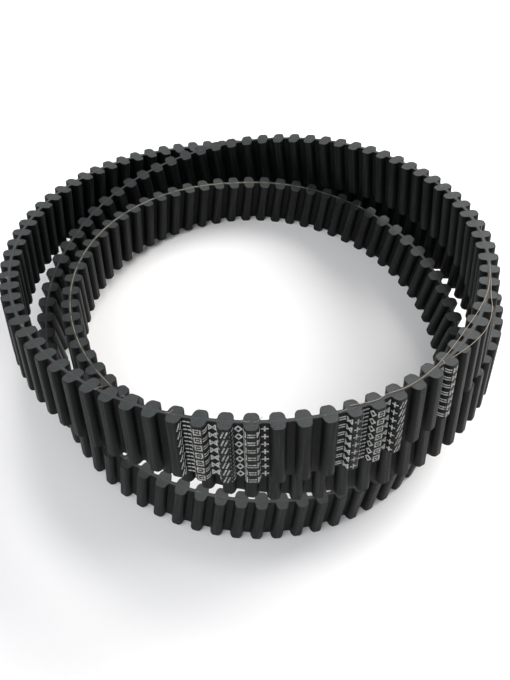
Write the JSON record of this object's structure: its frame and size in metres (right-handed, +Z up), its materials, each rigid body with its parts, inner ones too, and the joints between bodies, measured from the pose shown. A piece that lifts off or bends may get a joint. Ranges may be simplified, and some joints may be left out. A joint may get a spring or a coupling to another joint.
{
  "type": "timing belt",
  "caption": "Double-sided toothed timing belt, endless, lying on its edge coiled in three turns.",
  "frame": {"origin": "on the surface the belt stands on, under the middle of the coil's outline", "axes": "+Z up, along the belt's width and the coil's axis; -Y towards the raised front of the top turn"},
  "size_m": [0.2118, 0.2106, 0.1011],
  "materials": {
    "belt_rubber": "matt moulded black rubber, greyer where the sleeve was cut to width",
    "nylon_facing": "black nylon tooth facing with a faint sheen along the tooth crowns",
    "cord_layer": "pale glass-fibre cords in black rubber, seen as a thin tan line on the cut edge"
  },
  "bodies": {
    "resting_turns": {"back_fall_inner_facing": "nylon_facing", "back_fall_inner_rubber": "belt_rubber", "back_fall_cord_band": "cord_layer", "back_fall_outer_rubber": "belt_rubber", "back_fall_outer_facing": "nylon_facing", "front_floor_inner_facing": "nylon_facing", "front_floor_inner_rubber": "belt_rubber", "front_floor_cord_band": "cord_layer", "front_floor_outer_rubber": "belt_rubber", "front_floor_outer_facing": "nylon_facing", "inner_floor_inner_facing": "nylon_facing", "inner_floor_inner_rubber": "belt_rubber", "inner_floor_cord_band": "cord_layer", "inner_floor_outer_rubber": "belt_rubber", "inner_floor_outer_facing": "nylon_facing", "left_climb_inner_facing": "nylon_facing", "left_climb_inner_rubber": "belt_rubber", "left_climb_cord_band": "cord_layer", "left_climb_outer_rubber": "belt_rubber", "left_climb_outer_facing": "nylon_facing", "outer_floor_inner_facing": "nylon_facing", "outer_floor_inner_rubber": "belt_rubber", "outer_floor_cord_band": "cord_layer", "outer_floor_outer_rubber": "belt_rubber", "outer_floor_outer_facing": "nylon_facing"},
    "middle_left": {"middle_left_inner_facing": "nylon_facing", "middle_left_inner_rubber": "belt_rubber", "middle_left_cord_band": "cord_layer", "middle_left_outer_rubber": "belt_rubber", "middle_left_outer_facing": "nylon_facing"},
    "middle_front": {"middle_front_inner_facing": "nylon_facing", "middle_front_inner_rubber": "belt_rubber", "middle_front_cord_band": "cord_layer", "middle_front_outer_rubber": "belt_rubber", "middle_front_outer_facing": "nylon_facing"},
    "middle_right": {"middle_right_inner_facing": "nylon_facing", "middle_right_inner_rubber": "belt_rubber", "middle_right_cord_band": "cord_layer", "middle_right_outer_rubber": "belt_rubber", "middle_right_outer_facing": "nylon_facing"},
    "top_left": {"top_left_inner_facing": "nylon_facing", "top_left_inner_rubber": "belt_rubber", "top_left_cord_band": "cord_layer", "top_left_outer_rubber": "belt_rubber", "top_left_outer_facing": "nylon_facing"},
    "top_front_left": {"top_front_left_inner_facing": "nylon_facing", "top_front_left_inner_rubber": "belt_rubber", "top_front_left_cord_band": "cord_layer", "top_front_left_outer_rubber": "belt_rubber", "top_front_left_outer_facing": "nylon_facing"},
    "top_front_right": {"top_front_right_inner_facing": "nylon_facing", "top_front_right_inner_rubber": "belt_rubber", "top_front_right_cord_band": "cord_layer", "top_front_right_outer_rubber": "belt_rubber", "top_front_right_outer_facing": "nylon_facing"},
    "top_right": {"top_right_inner_facing": "nylon_facing", "top_right_inner_rubber": "belt_rubber", "top_right_cord_band": "cord_layer", "top_right_outer_rubber": "belt_rubber", "top_right_outer_facing": "nylon_facing"}
  },
  "joints": [
    {"name": "middle_flex", "type": "hinge", "parent": "resting_turns", "child": "middle_left", "pos_m": [-0.03292, -0.0783, 0.04573], "axis": [-0.1286, 0.2574, 0.9577], "range_deg": [-3, 3], "stiffness_Nm_per_rad": 0.15},
    {"name": "middle_flex_left", "type": "hinge", "parent": "middle_left", "child": "middle_front", "pos_m": [0.01266, -0.08924, 0.05322], "axis": [-0.1286, 0.2574, 0.9577], "range_deg": [-7.25, 7.25], "stiffness_Nm_per_rad": 0.15},
    {"name": "middle_flex_right", "type": "hinge", "parent": "middle_front", "child": "middle_right", "pos_m": [0.06466, -0.07125, 0.056], "axis": [-0.1286, 0.2574, 0.9577], "range_deg": [-7.14, 7.14], "stiffness_Nm_per_rad": 0.15},
    {"name": "top_flex", "type": "hinge", "parent": "resting_turns", "child": "top_left", "pos_m": [-0.10091, 0.00078, 0.03807], "axis": [-0.1449, 0.2882, 0.9465], "range_deg": [-3, 3], "stiffness_Nm_per_rad": 0.15},
    {"name": "top_flex_left", "type": "hinge", "parent": "top_left", "child": "top_front_left", "pos_m": [-0.06818, -0.07304, 0.06708], "axis": [-0.1449, 0.2882, 0.9465], "range_deg": [-8.86, 8.86], "stiffness_Nm_per_rad": 0.15},
    {"name": "top_flex_front", "type": "hinge", "parent": "top_front_left", "child": "top_front_right", "pos_m": [0.01098, -0.09689, 0.08697], "axis": [-0.1449, 0.2882, 0.9465], "range_deg": [-11.24, 11.24], "stiffness_Nm_per_rad": 0.15},
    {"name": "top_flex_right", "type": "hinge", "parent": "top_front_right", "child": "top_right", "pos_m": [0.07865, -0.04641, 0.08251], "axis": [-0.1449, 0.2882, 0.9465], "range_deg": [-7.52, 7.52], "stiffness_Nm_per_rad": 0.15}
  ],
  "couplings": [
    {"joint": "middle_flex_left", "follows": "middle_flex", "ratio": -2.4092},
    {"joint": "middle_flex_right", "follows": "middle_flex", "ratio": 2.3742},
    {"joint": "top_flex_left", "follows": "top_flex", "ratio": -2.9469},
    {"joint": "top_flex_front", "follows": "top_flex", "ratio": 3.7401},
    {"joint": "top_flex_right", "follows": "top_flex", "ratio": -2.4998}
  ]
}
